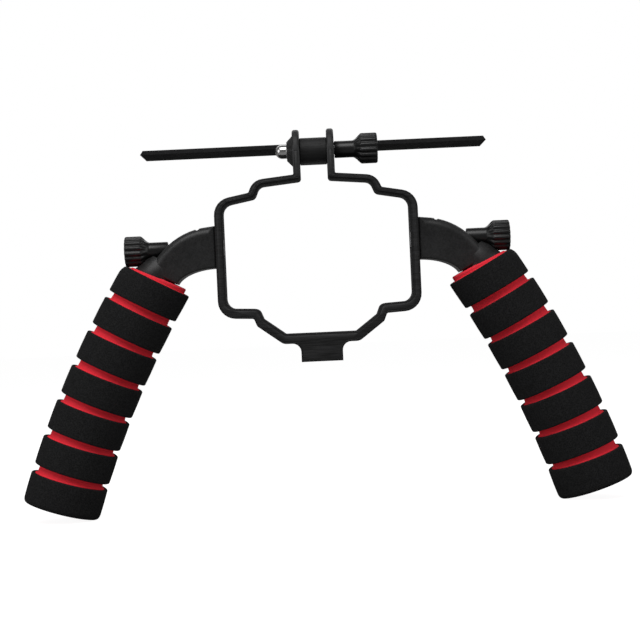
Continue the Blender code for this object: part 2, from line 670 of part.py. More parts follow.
def make_arm(name, side, material, parent, pivot_point):
    """Curved arm with the round core that runs down through the foam."""
    points, radii = arm_outline()
    bm = edged_prism(points, radii, ARM_DEPTH / 2, ARM_EDGE_STEPS)
    if side < 0:
        for vertex in bm.verts:
            vertex.co.x = -vertex.co.x
    arm = make_object(name, bm, material, parent, pivot_point)
    core = core_rings(CORE_RADIUS, -SLEEVE_COLLAR - 2 * GAP, GRIP_LENGTH - CORE_SHORT, side)
    combine(arm, make_object(name + "_core", skin_rings(core)), "UNION")
    bore = [(side * (ARM_BASE_X - OVERSHOOT), BOLT_BORE), (side * (NECK_SEAT_X + SUNK), BOLT_BORE)]
    combine(arm, make_object(name + "_bore", turned(bore, SIDE_AXIS_HEIGHT)), "DIFFERENCE")
    combine(arm, knob_room(name, side, NECK_PLAY), "DIFFERENCE")
    combine(arm, arm_notch(name, side), "DIFFERENCE")
    return arm


def make_handle(side, name, plastic, red_foam, black_foam, steel, knob_plastic):
    """An arm with its foam grip and the hand screw that clamps it."""
    pivot_point = (side * ARM_BASE_X, 0.0, SIDE_AXIS_HEIGHT)
    pivot = make_pivot(name + "_handle_pivot", pivot_point)
    make_arm(name + "_arm", side, plastic, pivot, pivot_point)
    make_sleeve(name + "_foam_sleeve", side, red_foam, pivot, pivot_point)
    for number in range(BAND_COUNT):
        make_band(f"{name}_band_{number + 1}", number, side, black_foam, pivot, pivot_point)
    neck_x = side * (NECK_SEAT_X + GAP)
    make_knob(name + "_knob", neck_x, side, SIDE_AXIS_HEIGHT, knob_plastic, pivot)
    make_bolt(name + "_bolt", neck_x, side, SIDE_AXIS_HEIGHT, steel, pivot)


def main():
    """Build the whole bracket."""
    clear_scene()
    printed = make_material("printed_plastic", (0.030, 0.030, 0.032), 0.60)
    moulded = make_material("moulded_plastic", (0.022, 0.022, 0.024), 0.42)
    knob_plastic = make_material("knob_plastic", (0.014, 0.014, 0.015), 0.38)
    plate_plastic = make_material("plate_plastic", (0.018, 0.018, 0.020), 0.45)
    black_foam = make_material("black_foam", (0.020, 0.020, 0.022), 0.85)
    red_foam = make_material("red_foam", (0.62, 0.030, 0.040), 0.80)
    steel = make_material("steel", (0.55, 0.55, 0.56), 0.35, 1.0)
    chrome = make_material("chrome", (0.78, 0.78, 0.79), 0.08, 1.0)

    hoop = make_hoop(printed)
    make_cap_nut(chrome, hoop)
    for side, name in ((-1, "left"), (1, "right")):
        make_thin_nut(name + "_side_nut", side, steel, hoop)
        make_handle(side, name, moulded, red_foam, black_foam, steel, knob_plastic)
    clamp_pivot = make_pivot("clamp_pivot", (0.0, 0.0, AXIS_HEIGHT))
    make_tilt_plate(plate_plastic, clamp_pivot)
    neck_x = EAR_OUTER + GAP
    make_knob("clamp_knob", neck_x, 1, AXIS_HEIGHT, knob_plastic, clamp_pivot)
    make_bolt("clamp_bolt", neck_x, 1, AXIS_HEIGHT, steel, clamp_pivot)


main()
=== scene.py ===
import math

import bmesh
import bpy
from mathutils import Matrix, Vector


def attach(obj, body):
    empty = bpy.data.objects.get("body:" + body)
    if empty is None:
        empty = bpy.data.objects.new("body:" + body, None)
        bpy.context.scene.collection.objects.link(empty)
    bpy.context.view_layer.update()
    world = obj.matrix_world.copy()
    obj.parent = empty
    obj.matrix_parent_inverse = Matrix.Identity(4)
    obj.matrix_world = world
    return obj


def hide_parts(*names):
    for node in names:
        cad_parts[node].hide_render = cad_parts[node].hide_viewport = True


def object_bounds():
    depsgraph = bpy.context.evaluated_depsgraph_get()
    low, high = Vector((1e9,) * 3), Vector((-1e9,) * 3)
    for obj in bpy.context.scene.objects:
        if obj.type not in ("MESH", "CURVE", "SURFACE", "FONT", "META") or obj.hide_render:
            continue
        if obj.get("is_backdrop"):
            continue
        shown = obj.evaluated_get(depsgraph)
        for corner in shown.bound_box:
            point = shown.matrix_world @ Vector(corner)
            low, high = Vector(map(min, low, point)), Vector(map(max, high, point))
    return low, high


bl_info = {
    "name": "Two-handed carrying bracket",
    "version": (1, 0, 0),
    "blender": (4, 5, 0),
    "location": "View3D > Sidebar > Bracket",
    "description": "Finished pieces of a two-handed carrying bracket, round its packed frame",
    "category": "Object",
}

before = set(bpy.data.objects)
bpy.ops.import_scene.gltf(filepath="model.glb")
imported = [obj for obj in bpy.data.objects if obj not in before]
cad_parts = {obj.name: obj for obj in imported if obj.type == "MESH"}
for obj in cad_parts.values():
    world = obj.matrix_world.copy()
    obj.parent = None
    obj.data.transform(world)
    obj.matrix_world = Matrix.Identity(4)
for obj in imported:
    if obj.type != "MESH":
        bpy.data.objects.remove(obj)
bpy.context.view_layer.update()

MM = 0.001

# ---- sizes in millimetres, most of them the frame's own ----
GAP = 0.3                       # between neighbouring pieces
HOOP_HALF_WIDTH = 52.9
HOOP_HALF_DEPTH = 11.2
LEAST_FLAT_AREA = 100.0         # of the hoop's front and back, in square millimetres
AXIS_HEIGHT = 110.4             # clamp screw's axis above the foot's face
SIDE_AXIS_HEIGHT = 61.6         # side screws' axis
EAR_OUTER = 10.85
CLAMP_NECK_X = EAR_OUTER + GAP
SIDE_NECK_X = 78.3
NECK_RADIUS = 4.45
NECK_LENGTH = 10.4
KNOB_CONE = 3.4
KNOB_LENGTH = 8.7
KNOB_FADE = 0.75                # fall in the foam's hollow, for each millimetre past a knob
FLUTE_SHARE = 0.36              # half of a flute's width, as a share of the flutes' spacing
FLUTE_POWER = 1.4               # above 1, a flute's sides curve in
CAP_NUT_SEAT_X = -9.85
CAP_NUT_LENGTH = 10.0
CAP_NUT_HEX_LENGTH = 4.0
NUT_ACROSS_FLATS = 8.0
BOLT_BORE = 2.8
HUB_HALF_WIDTH = 6.7
HUB_FACE_RISE = 0.33            # raised faces that rub on the ears
RIM_WIDTH = 0.45                # softened rim of the hoop's front and back
RIM_RISE = 0.2
EAR_EDGE = 1.2                  # rounding of the ears' outer edges
EAR_RADIUS = 11.2
EAR_TOP_RISE = 10.55            # above the axis, from where the ears are straightened
EAR_INNER = 7.1
EAR_STEP = 1.142                # between points of an ear's outline, near the top
PLATE_NEAR = 12.0

GRIP_START_OUTBOARD = 32.3
GRIP_START_DROP = 15.7
GRIP_TOP_ANGLE = 32.5           # degrees from straight down
GRIP_END_ANGLE = 17.7
FACE_LAG = 1.1                  # degrees that a ring's ends lean less than the centre line
FACE_TOP_ANGLE = 28.5           # and the most that they lean
BAND_COUNT = 7
BAND_LENGTH = 15.15
LAST_BAND_LENGTH = 16.3
GROOVE_WIDTH = 3.9
GRIP_RADIUS_TOP = 19.1
GRIP_RADIUS_END = 20.5
GROOVE_DEPTH = 3.1
COLLAR = 2.7                    # bare red foam above the first band, on the hoop's side
COLLAR_LEAN = 0.95              # how much lower it is in front, and twice that outside
CORE_BORE = 9.8                 # hole through the foam for the arm's round core
GRIP_LENGTH = (BAND_COUNT - 1) * (BAND_LENGTH + GROOVE_WIDTH) + LAST_BAND_LENGTH
CORNER_LENGTH = 4.5             # rounded corner at the top of the first ring
CORNER_DRAW = 1.5
RING_BULGE = 0.1                # how far a ring's middle stands out

# ---- how finely shapes are made, and which faces are meant ----
SQUARE_ON = 0.999               # least cosine between a flat face's normal and an axis
FRONT_ON = 0.97                 # the same for the rounded rims of the hoop's front and back
FLAT_ANGLE = math.radians(0.4)  # faces that turn less than this are one flat face
FILLET_ANGLES = (0.5, 1.0, 1.45)    # radians, round the corners of a groove's floor
CONE_STEPS = 48
SLEEVE_STEPS = 72
RING_STEPS = 96

SIDES = (("left", -1), ("right", 1))


# ---- settings ----

def colour_setting(name, description, default):
    """A colour that a user may change."""
    return bpy.props.FloatVectorProperty(
        name=name, description=description, default=default, subtype="COLOR", size=3,
        min=0.0, max=1.0)


def length_setting(name, description, millimetres):
    """A length that a user may change."""
    return bpy.props.FloatProperty(
        name=name, description=description, default=millimetres * MM, min=0.0, unit="LENGTH",
        precision=4)


def power_setting(name, description, watts):
    """A light's power that a user may change."""
    return bpy.props.FloatProperty(
        name=name, description=description, default=watts, min=0.0, unit="POWER")


class BracketColours(bpy.types.PropertyGroup):
    """Colours of the bracket's finishes."""
    printed: colour_setting("Printed plastic", "Hoop, ears and foot", (0.0162, 0.0162, 0.0166))
    moulded: colour_setting("Moulded plastic", "Both arms", (0.0138, 0.0138, 0.0142))
    knob: colour_setting("Knob plastic", "Hand screws' knobs", (0.0070, 0.0070, 0.0073))
    plate: colour_setting("Plate plastic", "Tilting plate", (0.0230, 0.0230, 0.0235))
    black_foam: colour_setting("Black foam", "Rings round the grips", (0.0145, 0.0145, 0.0148))
    red_foam: colour_setting("Red foam", "Grooves and collars of the grips", (0.980, 0.046, 0.070))
    steel: colour_setting("Steel", "Bolts and side nuts", (0.48, 0.48, 0.49))
    chrome: colour_setting("Chrome", "Cap nut", (0.66, 0.655, 0.65))


class BracketSizes(bpy.types.PropertyGroup):
    """Sizes of the bracket's fine shapes."""
    skin: length_setting("Foam skin", "Thickness of the black foam", 1.6)
    ring_edge: length_setting("Ring edge", "Rounding of each foam ring's edges", 0.8)
    last_edge: length_setting("Last edge", "Rounding of the grip's lower end", 2.8)
    groove_fillet: length_setting("Groove fillet", "Rounding in the grooves' corners", 0.7)
    flutes: bpy.props.IntProperty(
        name="Flutes", description="Grooves round each knob", default=16, min=6, max=24)
    flute_depth: length_setting("Flute depth", "Depth of a knob's grooves", 0.8)
    knob_radius: length_setting("Knob radius", "Outer radius of a knob's head", 8.0)
    dome_radius: length_setting("Dome radius", "Radius of the cap nut's dome", 3.65)
    print_line: length_setting("Print line", "Width of one printed line on the hoop", 0.20)
    print_dip: length_setting("Print dip", "Depth between two printed lines", 0.1)
    plate_edge: length_setting("Plate edge", "Rounding of the plate's edges", 0.25)


class BracketStage(bpy.types.PropertyGroup):
    """Camera and light."""
    distance: length_setting("Camera distance", "From the bracket's middle plane", 892.0)
    height: length_setting("Camera height", "Above the foot's face", 21.4)
    aside: bpy.props.FloatProperty(
        name="Camera aside", description="To the right of the bracket's middle",
        default=-0.0004, unit="LENGTH", precision=4)
    lens: bpy.props.FloatProperty(
        name="Lens", description="Focal length in millimetres", default=95.6, min=10.0, max=300.0)
    roll: bpy.props.FloatProperty(
        name="Roll", description="Turn of the camera about its own line of sight",
        default=math.radians(-2.6), subtype="ANGLE")
    key: power_setting("Key light", "Power of the large light above", 11.0)
    fill: power_setting("Fill light", "Power of each light at the sides", 2.6)
    room: bpy.props.FloatProperty(
        name="Room light", description="Strength of the light from all round", default=0.20,
        min=0.0)


# ---- working on meshes ----

def deselect_all():
    """Back to object mode, with nothing selected."""
    if bpy.context.object and bpy.context.object.mode != "OBJECT":
        bpy.ops.object.mode_set(mode="OBJECT")
    bpy.ops.object.select_all(action="DESELECT")


def make_active(item):
    """Select one object alone."""
    deselect_all()
    item.select_set(True)
    bpy.context.view_layer.objects.active = item


def start_loop(name, points):
    """A closed loop of edges through the points, open in edit mode with all of it selected."""
    deselect_all()
    bpy.ops.mesh.primitive_circle_add(vertices=len(points), radius=MM, fill_type="NOTHING")
    item = bpy.context.object
    item.name = item.data.name = name
    bpy.ops.object.mode_set(mode="EDIT")
    bpy.ops.mesh.select_mode(type="EDGE")
    bpy.ops.mesh.select_all(action="SELECT")
    mesh = bmesh.from_edit_mesh(item.data)
    spoke = mesh.verts.layers.int.new("spoke")
    for number, vertex in enumerate(mesh.verts):
        vertex[spoke] = number
        vertex.co = Vector(points[number]) * MM
    bmesh.update_edit_mesh(item.data)
    return item


def extrude_to(item, points):
    """Extrude the selected loop to the next points."""
    bpy.ops.mesh.extrude_region()
    mesh = bmesh.from_edit_mesh(item.data)
    spoke = mesh.verts.layers.int["spoke"]
    for vertex in mesh.verts:
        if vertex.select:
            vertex.co = Vector(points[vertex[spoke]]) * MM
    bmesh.update_edit_mesh(item.data)


def ring_body(name, rings, closed=False, smooth_angle=40.0):
    """A closed body through rings of points, in millimetres: capped, or joined end to end."""
    item = start_loop(name, rings[0])
    for ring in rings[1:]:
        extrude_to(item, ring)
    bpy.ops.mesh.select_all(action="DESELECT")
    bpy.ops.mesh.select_mode(type="EDGE")
    bpy.ops.mesh.select_non_manifold(extend=False)
    if closed:
        bpy.ops.mesh.bridge_edge_loops()
    else:
        bpy.ops.mesh.select_all(action="SELECT")
        bpy.ops.mesh.fill_holes(sides=0)
    bpy.ops.mesh.select_all(action="SELECT")
    bpy.ops.mesh.normals_make_consistent(inside=False)
    bpy.ops.object.mode_set(mode="OBJECT")
    shade(item, smooth_angle)
    return item


def shade(item, angle):
    """Smooth shading up to an angle in degrees, with flat faces kept flat."""
    make_active(item)
    bpy.ops.object.shade_smooth_by_angle(angle=math.radians(angle))


def weigh_normals(item):
    """Keep large flat faces flat beside small rounded ones."""
    make_active(item)
    modifier = item.modifiers.new("weigh", "WEIGHTED_NORMAL")
    modifier.keep_sharp = True
    bpy.ops.object.modifier_apply(modifier=modifier.name)


def copy_of_node(node, name):
    """A merged copy of a frame node's mesh, as a new object with flat faces whole again."""
    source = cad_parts[node]
    item = bpy.data.objects.new(name, source.data.copy())
    item.data.name = name
    bpy.context.scene.collection.objects.link(item)
    item.data.materials.clear()
    make_active(item)
    bpy.ops.mesh.customdata_custom_splitnormals_clear()
    bpy.ops.object.mode_set(mode="EDIT")
    bpy.ops.mesh.select_all(action="SELECT")
    bpy.ops.mesh.remove_doubles(threshold=0.002 * MM)
    bpy.ops.mesh.dissolve_limited(angle_limit=FLAT_ANGLE)
    bpy.ops.mesh.normals_make_consistent(inside=False)
    bpy.ops.object.mode_set(mode="OBJECT")
    return item


def select_faces(item, wanted):
    """In edit mode, select only the faces that wanted(face) picks; returns how many."""
    bpy.ops.mesh.select_mode(type="FACE")
    bpy.ops.mesh.select_all(action="DESELECT")
    mesh = bmesh.from_edit_mesh(item.data)
    count = 0
    for face in mesh.faces:
        if wanted(face):
            face.select_set(True)
            count += 1
    mesh.select_flush_mode()
    bmesh.update_edit_mesh(item.data)
    return count


def straighten_ear_tops(item):
    """In edit mode, carry both ears' round outlines and flat sides right to the top."""
    bpy.ops.mesh.select_mode(type="VERT")
    bpy.ops.mesh.select_all(action="DESELECT")
    mesh = bmesh.from_edit_mesh(item.data)
    middle = (EAR_OUTER + EAR_INNER) / 2
    for vertex in mesh.verts:
        if vertex.co.z > (AXIS_HEIGHT + EAR_TOP_RISE) * MM:
            vertex.select_set(True)
            x = vertex.co.x / MM
            y = round(vertex.co.y / MM / EAR_STEP) * EAR_STEP
            vertex.co.y = y * MM
            vertex.co.x = math.copysign(EAR_OUTER if abs(x) > middle else EAR_INNER, x) * MM
            vertex.co.z = (AXIS_HEIGHT + math.sqrt(EAR_RADIUS ** 2 - y ** 2)) * MM
    bmesh.update_edit_mesh(item.data)
    bpy.ops.mesh.remove_doubles(threshold=0.25 * MM)
    bpy.ops.mesh.select_all(action="SELECT")
    bpy.ops.mesh.dissolve_limited(angle_limit=FLAT_ANGLE)


def select_ear_edges(item):
    """In edit mode, select the curved outer edges of both ears."""
    bpy.ops.mesh.select_mode(type="EDGE")
    bpy.ops.mesh.select_all(action="DESELECT")
    mesh = bmesh.from_edit_mesh(item.data)
    for edge in mesh.edges:
        places = [vertex.co / MM for vertex in edge.verts]
        on_rim = all(math.hypot(place.y, place.z - AXIS_HEIGHT) > EAR_RADIUS - 0.1
                     and place.z > AXIS_HEIGHT - 0.1 for place in places)
        for side in (EAR_INNER, EAR_OUTER):
            if on_rim and all(abs(abs(place.x) - side) < 0.02 for place in places):
                edge.select_set(True)
    bmesh.update_edit_mesh(item.data)


def placed_copy(template, name, matrix):
    """A copy with its own mesh, moved by the matrix in its mesh."""
    item = bpy.data.objects.new(name, template.data.copy())
    item.data.name = name
    bpy.context.scene.collection.objects.link(item)
    item.data.transform(matrix)
    if matrix.determinant() < 0.0:
        item.data.flip_normals()
    return item


def finish_piece(item, body, slot, material, *nodes):
    """Give a piece its finish and its body, and hide the frame nodes that it stands for."""
    item.data.materials.append(material)
    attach(item, body)
    if nodes:
        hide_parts(*nodes)


# ---- finishes ----

def feed(tree, socket, value):
    """Link a socket to another, or set it to a number or a colour."""
    if isinstance(value, bpy.types.NodeSocket):
        tree.links.new(value, socket)
    else:
        socket.default_value = value


def add_node(tree, kind, values, **settings):
    """A new node with its settings, and its inputs fed by label or by number."""
    node = tree.nodes.new(kind)
    for label, value in settings.items():
        setattr(node, label, value)
    for key, value in values.items():
        feed(tree, node.inputs[key], value)
    return node


def new_group(name, inputs, outputs):
    """An empty node group with named sockets: the group, what comes in and what goes out."""
    group = bpy.data.node_groups.new(name, "ShaderNodeTree")
    for label, value in inputs:
        socket = group.interface.new_socket(
            name=label, in_out="INPUT", socket_type="NodeSocketFloat")
        socket.default_value = value
    for label in outputs:
        group.interface.new_socket(name=label, in_out="OUTPUT", socket_type="NodeSocketFloat")
    entry = group.nodes.new("NodeGroupInput")
    leave = group.nodes.new("NodeGroupOutput")
    return group, entry.outputs, leave.inputs


def math_node(tree, operation, first, second):
    """A Math node's result on two sockets or numbers."""
    return add_node(tree, "ShaderNodeMath", {0: first, 1: second}, operation=operation).outputs[0]


def noise_node(tree, vector, scale, detail=2.0, roughness=0.5):
    """A Noise Texture's value."""
    return add_node(tree, "ShaderNodeTexNoise", {
        "Vector": vector, "Scale": scale, "Detail": detail, "Roughness": roughness}).outputs[0]


def stretch_node(tree, value, low, high, to_low=0.0, to_high=1.0):
    """A Map Range node's result, clamped."""
    return add_node(tree, "ShaderNodeMapRange", {
        "Value": value, "From Min": low, "From Max": high, "To Min": to_low,
        "To Max": to_high}).outputs[0]


def object_place(tree):
    """Object coordinates."""
    return tree.nodes.new("ShaderNodeTexCoord").outputs["Object"]


def mapped_place(tree, scale, rotation=(0.0, 0.0, 0.0)):
    """Object coordinates, stretched and turned."""
    return add_node(tree, "ShaderNodeMapping", {
        "Vector": object_place(tree), "Scale": scale, "Rotation": rotation}).outputs[0]


def grain_group(name):
    """Fine grain in two sizes, as a mask and a height."""
    group, entry, leave = new_group(
        name, [("Scale", 1500.0), ("Coarse Share", 0.4)], ["Mask", "Height"])
    place = object_place(group)
    fine = noise_node(group, place, entry["Scale"])
    coarse = noise_node(group, place, math_node(group, "MULTIPLY", entry["Scale"], 0.21), 3.0)
    both = add_node(group, "ShaderNodeMix", {0: entry["Coarse Share"], 2: fine, 3: coarse},
                    data_type="FLOAT").outputs[0]
    feed(group, leave["Mask"], stretch_node(group, both, 0.34, 0.66))
    feed(group, leave["Height"], both)
    return group


def cell_group(name):
    """Closed cells of cut foam, as a mask of their rims and a height."""
    group, entry, leave = new_group(name, [("Scale", 1400.0)], ["Mask", "Height"])
    place = object_place(group)
    cells = add_node(group, "ShaderNodeTexVoronoi", {
        "Vector": place, "Scale": entry["Scale"], "Smoothness": 0.6},
        feature="SMOOTH_F1").outputs["Distance"]
    blotch = noise_node(group, place, math_node(group, "MULTIPLY", entry["Scale"], 0.8), 3.0, 0.62)
    both = math_node(group, "MULTIPLY", cells, blotch)
    feed(group, leave["Mask"], stretch_node(group, both, 0.08, 0.30))
    feed(group, leave["Height"], cells)
    return group


def layer_group(name):
    """Printed layers stacked along Y, as a mask that differs from layer to layer and a height."""
    group, entry, leave = new_group(name, [("Spacing", 0.2 * MM)], ["Mask", "Height"])
    split = add_node(group, "ShaderNodeSeparateXYZ", {0: object_place(group)})
    layer = math_node(group, "DIVIDE", split.outputs["Y"], entry["Spacing"])
    ridge = math_node(group, "MULTIPLY", math_node(group, "PINGPONG", layer, 0.5), 2.0)
    tone = add_node(group, "ShaderNodeTexNoise", {
        "W": math_node(group, "MULTIPLY", layer, 0.23), "Scale": 1.0}, noise_dimensions="1D")
    feed(group, leave["Mask"], stretch_node(group, tone.outputs[0], 0.3, 0.7))
    feed(group, leave["Height"], math_node(group, "POWER", ridge, 0.5))
    return group


def edge_wear_highlight_group(name):
    """Edges painted a little lighter where the mesh is pointed, as a mask: partly wear, partly a
    painted highlight.
    """
    group, entry, leave = new_group(name, [("Low", 0.515), ("High", 0.60)], ["Mask"])
    pointed = group.nodes.new("ShaderNodeNewGeometry").outputs["Pointiness"]
    edges = stretch_node(group, pointed, entry["Low"], entry["High"])
    patchy = stretch_node(group, noise_node(group, object_place(group), 260.0, 3.0), 0.3, 0.7,
                          0.45, 1.0)
    feed(group, leave["Mask"], math_node(group, "MULTIPLY", edges, patchy))
    return group


GROUPS = {"Fine Grain": grain_group, "Foam Cells": cell_group, "Printed Layers": layer_group,
          "Edge Wear And Painted Highlight": edge_wear_highlight_group}


def place_group(material, name, **values):
    """Put a shared node group in a material with its own values."""
    node = material.node_tree.nodes.new("ShaderNodeGroup")
    node.node_tree = bpy.data.node_groups.get(name) or GROUPS[name](name)
    for label, value in values.items():
        node.inputs[label.replace("_", " ")].default_value = value
    return node


def tint(material, mask, base, other):
    """Mix from one colour to another by a mask; either may be a socket."""
    return add_node(material.node_tree, "ShaderNodeMix", {0: mask, 6: base, 7: other},
                    data_type="RGBA").outputs[2]


def start_material(name, roughness, metallic=0.0, specular=0.4):
    """A material with its Principled shader's constants set, and the shader."""
    material = bpy.data.materials.new(name)
    material.use_nodes = True
    shader = material.node_tree.nodes["Principled BSDF"]
    shader.inputs["Roughness"].default_value = roughness
    shader.inputs["Metallic"].default_value = metallic
    shader.inputs["Specular IOR Level"].default_value = specular
    return material, shader


def add_bump(material, shader, height, strength, distance):
    """Feed a height to the shader's normal."""
    bump = add_node(material.node_tree, "ShaderNodeBump", {
        "Strength": strength, "Distance": distance, "Height": height})
    feed(material.node_tree, shader.inputs["Normal"], bump.outputs[0])


def scaled(colour, factor):
    """A colour made lighter or darker, with its alpha."""
    return (*(min(1.0, part * factor) for part in colour[:3]), 1.0)


def printed_finish(name="printed_black", colour=None, roughness=0.50, specular=0.28):
    """Black plastic printed in layers, with faint streaks along each printed line."""
    colour = colour or colours().printed
    material, shader = start_material(name, roughness, specular=specular)
    tree = material.node_tree
    layers = place_group(material, "Printed Layers", Spacing=0.2 * MM)
    streaks = noise_node(tree, mapped_place(tree, (90.0, 700.0, 1500.0),
                                            (0.0, math.radians(2.0), 0.0)), 1.0)
    grain = place_group(material, "Fine Grain", Scale=2600.0, Coarse_Share=0.45)
    wear_highlight = place_group(material, "Edge Wear And Painted Highlight", Low=0.505, High=0.60)
    tone = tint(material, stretch_node(tree, streaks, 0.32, 0.68), scaled(colour, 0.35),
                scaled(colour, 1.9))
    tone = tint(material, stretch_node(tree, layers.outputs["Mask"], 0.0, 1.0, 0.0, 0.4), tone,
                scaled(colour, 1.6))
    # Pointed edges 1.9 times lighter: partly wear, partly a painted highlight.
    tone = tint(material, wear_highlight.outputs["Mask"], tone, scaled(colour, 1.9))
    tree.links.new(tone, shader.inputs["Base Color"])
    tree.links.new(stretch_node(tree, grain.outputs["Mask"], 0.0, 1.0, roughness - 0.08,
                                roughness + 0.10), shader.inputs["Roughness"])
    height = math_node(tree, "ADD", math_node(tree, "MULTIPLY", layers.outputs["Height"], 0.55),
                       math_node(tree, "MULTIPLY", streaks, 0.9))
    add_bump(material, shader, height, 0.5, 0.05 * MM)
    return material


def moulded_finish(name, colour, roughness, grain_scale, swing, lift, wear_highlight_low=0.51,
                   wear_highlight_high=0.62, specular=0.4, contrast=0.25):
    """Black moulded plastic with a fine spark-eroded grain; lift is its height in millimetres."""
    material, shader = start_material(name, roughness, specular=specular)
    tree = material.node_tree
    grain = place_group(material, "Fine Grain", Scale=grain_scale, Coarse_Share=0.35)
    blotch = noise_node(tree, object_place(tree), 70.0, 3.0)
    wear_highlight = place_group(material, "Edge Wear And Painted Highlight", Low=wear_highlight_low, High=wear_highlight_high)
    tone = tint(material, grain.outputs["Mask"], scaled(colour, 1.0 - contrast),
                scaled(colour, 1.0 + contrast))
    # Pointed edges three times lighter: partly wear, partly a painted highlight.
    tone = tint(material, wear_highlight.outputs["Mask"], tone, scaled(colour, 3.0))
    tree.links.new(tone, shader.inputs["Base Color"])
    mottle = stretch_node(tree, blotch, 0.35, 0.65, roughness - swing, roughness + swing)
    tree.links.new(mottle, shader.inputs["Roughness"])
    add_bump(material, shader, grain.outputs["Height"], 0.35, lift * MM)
    return material


def foam_finish(name, colour, light, dark, scale):
    """Closed-cell foam: matt, with fine cells that catch the light."""
    material, shader = start_material(name, 0.95, specular=0.05)
    tree = material.node_tree
    cells = place_group(material, "Foam Cells", Scale=scale)
    grain = place_group(material, "Fine Grain", Scale=scale * 0.8, Coarse_Share=0.2)
    tone = tint(material, cells.outputs["Mask"], scaled(colour, dark), scaled(colour, light))
    tone = tint(material, stretch_node(tree, grain.outputs["Mask"], 0.0, 1.0, 0.0, 0.6), tone,
                scaled(colour, dark))
    tree.links.new(tone, shader.inputs["Base Color"])
    height = math_node(tree, "ADD", cells.outputs["Height"], grain.outputs["Height"])
    add_bump(material, shader, height, 0.7, 0.12 * MM)
    return material


def metal_finish(name, colour, roughness, scratch):
    """Bare or plated metal, with fine turning marks round X."""
    material, shader = start_material(name, roughness, metallic=1.0)
    tree = material.node_tree
    marks = noise_node(tree, mapped_place(tree, (9000.0, 500.0, 500.0)), 1.0)
    smudge = noise_node(tree, object_place(tree), 420.0, 3.0)
    tree.links.new(tint(material, stretch_node(tree, smudge, 0.35, 0.65), scaled(colour, 0.86),
                        scaled(colour, 1.0)), shader.inputs["Base Color"])
    tree.links.new(stretch_node(tree, marks, 0.3, 0.7, roughness, roughness + scratch),
                   shader.inputs["Roughness"])
    add_bump(material, shader, marks, 0.12, 0.02 * MM)
    return material


def colours():
    """The colour settings."""
    return bpy.context.scene.bracket_colours


def sizes():
    """The size settings."""
    return bpy.context.scene.bracket_sizes


# ---- the grips' centre line ----

def grip_angle(distance):
    """Angle of the centre line from straight down, at a distance from the first ring."""
    turn = math.radians(GRIP_TOP_ANGLE - GRIP_END_ANGLE)
    return math.radians(GRIP_TOP_ANGLE) - turn * distance / GRIP_LENGTH


def grip_point(distance):
    """Point (x, z) on the right grip's centre line."""
    radius = GRIP_LENGTH / math.radians(GRIP_TOP_ANGLE - GRIP_END_ANGLE)
    top = math.radians(GRIP_TOP_ANGLE)
    angle = grip_angle(distance)
    return Vector((
        HOOP_HALF_WIDTH + GRIP_START_OUTBOARD + radius * (math.cos(angle) - math.cos(top)),
        SIDE_AXIS_HEIGHT - GRIP_START_DROP + radius * (math.sin(angle) - math.sin(top))))


def grip_radius(distance):
    """Outer radius of the foam."""
    share = min(max(distance / GRIP_LENGTH, 0.0), 1.0)
    return GRIP_RADIUS_TOP + (GRIP_RADIUS_END - GRIP_RADIUS_TOP) * share


def grip_directions(middle):
    """Along and across the ring whose middle is given, in (x, z)."""
    angle = grip_angle(middle)
    face = min(angle - math.radians(FACE_LAG), math.radians(FACE_TOP_ANGLE))
    return (Vector((math.sin(angle), -math.cos(angle))),
            Vector((math.cos(face), math.sin(face))))


def band_spans():
    """Start and end of each black ring along the centre line."""
    spans = []
    start = 0.0
    for number in range(BAND_COUNT):
        length = LAST_BAND_LENGTH if number == BAND_COUNT - 1 else BAND_LENGTH
        spans.append((start, start + length))
        start += length + GROOVE_WIDTH
    return spans


def band_matrix(middle, side, across=1.0):
    """From a ring's own (outward, y, along) to its place; across stretches its radius."""
    along, outward = grip_directions(middle)
    centre = grip_point(middle)
    return Matrix((
        (side * outward.x * across, 0.0, side * along.x, side * centre.x * MM),
        (0.0, across, 0.0, 0.0),
        (outward.y * across, 0.0, along.y, centre.y * MM),
        (0.0, 0.0, 0.0, 1.0)))


def circle(radius, along, steps):
    """A ring's circle in its own (outward, y, along)."""
    return [(radius * math.cos(2 * math.pi * (i + 0.5) / steps),
             radius * math.sin(2 * math.pi * (i + 0.5) / steps), along) for i in range(steps)]


def placed_circle(matrix, radius, along, steps, outward=0.0, lean=0.0):
    """A ring's circle at its place, moved outward; lean lowers its outer side by twice itself."""
    return [tuple((matrix @ (Vector((x + outward, y, z + lean * (1.0 + x / radius))) * MM)) / MM)
            for x, y, z in circle(radius, along, steps)]


def arc(centre, radius, start, end, steps):
    """Points (along, radius) on part of a circle, angles in degrees from outward."""
    points = []
    for step in range(steps + 1):
        angle = math.radians(start + (end - start) * step / steps)
        points.append((centre[0] + radius * math.sin(angle), centre[1] + radius * math.cos(angle)))
    return points


def head_radius(x):
    """Outer radius of a side knob at a distance from the middle, fading past its end."""
    cone = SIDE_NECK_X + NECK_LENGTH
    head = cone + KNOB_CONE
    end = head + KNOB_LENGTH
    knob = sizes().knob_radius / MM
    if x < cone:
        return NECK_RADIUS
    if x < head:
        return NECK_RADIUS + (knob - NECK_RADIUS) * (x - cone) / KNOB_CONE
    if x < end + GAP:
        return knob
    return knob - KNOB_FADE * (x - end - GAP)


def press_by_knob(item, side):
    """Push foam down where the side knob rests in it."""
    for vertex in item.data.vertices:
        x, y, z = side * vertex.co.x / MM, vertex.co.y / MM, vertex.co.z / MM
        room = head_radius(x) + GAP
        if abs(y) >= room or z > SIDE_AXIS_HEIGHT or x < SIDE_NECK_X:
            continue
        floor = SIDE_AXIS_HEIGHT - math.sqrt(room * room - y * y)
        if z > floor:
            vertex.co.z = floor * MM


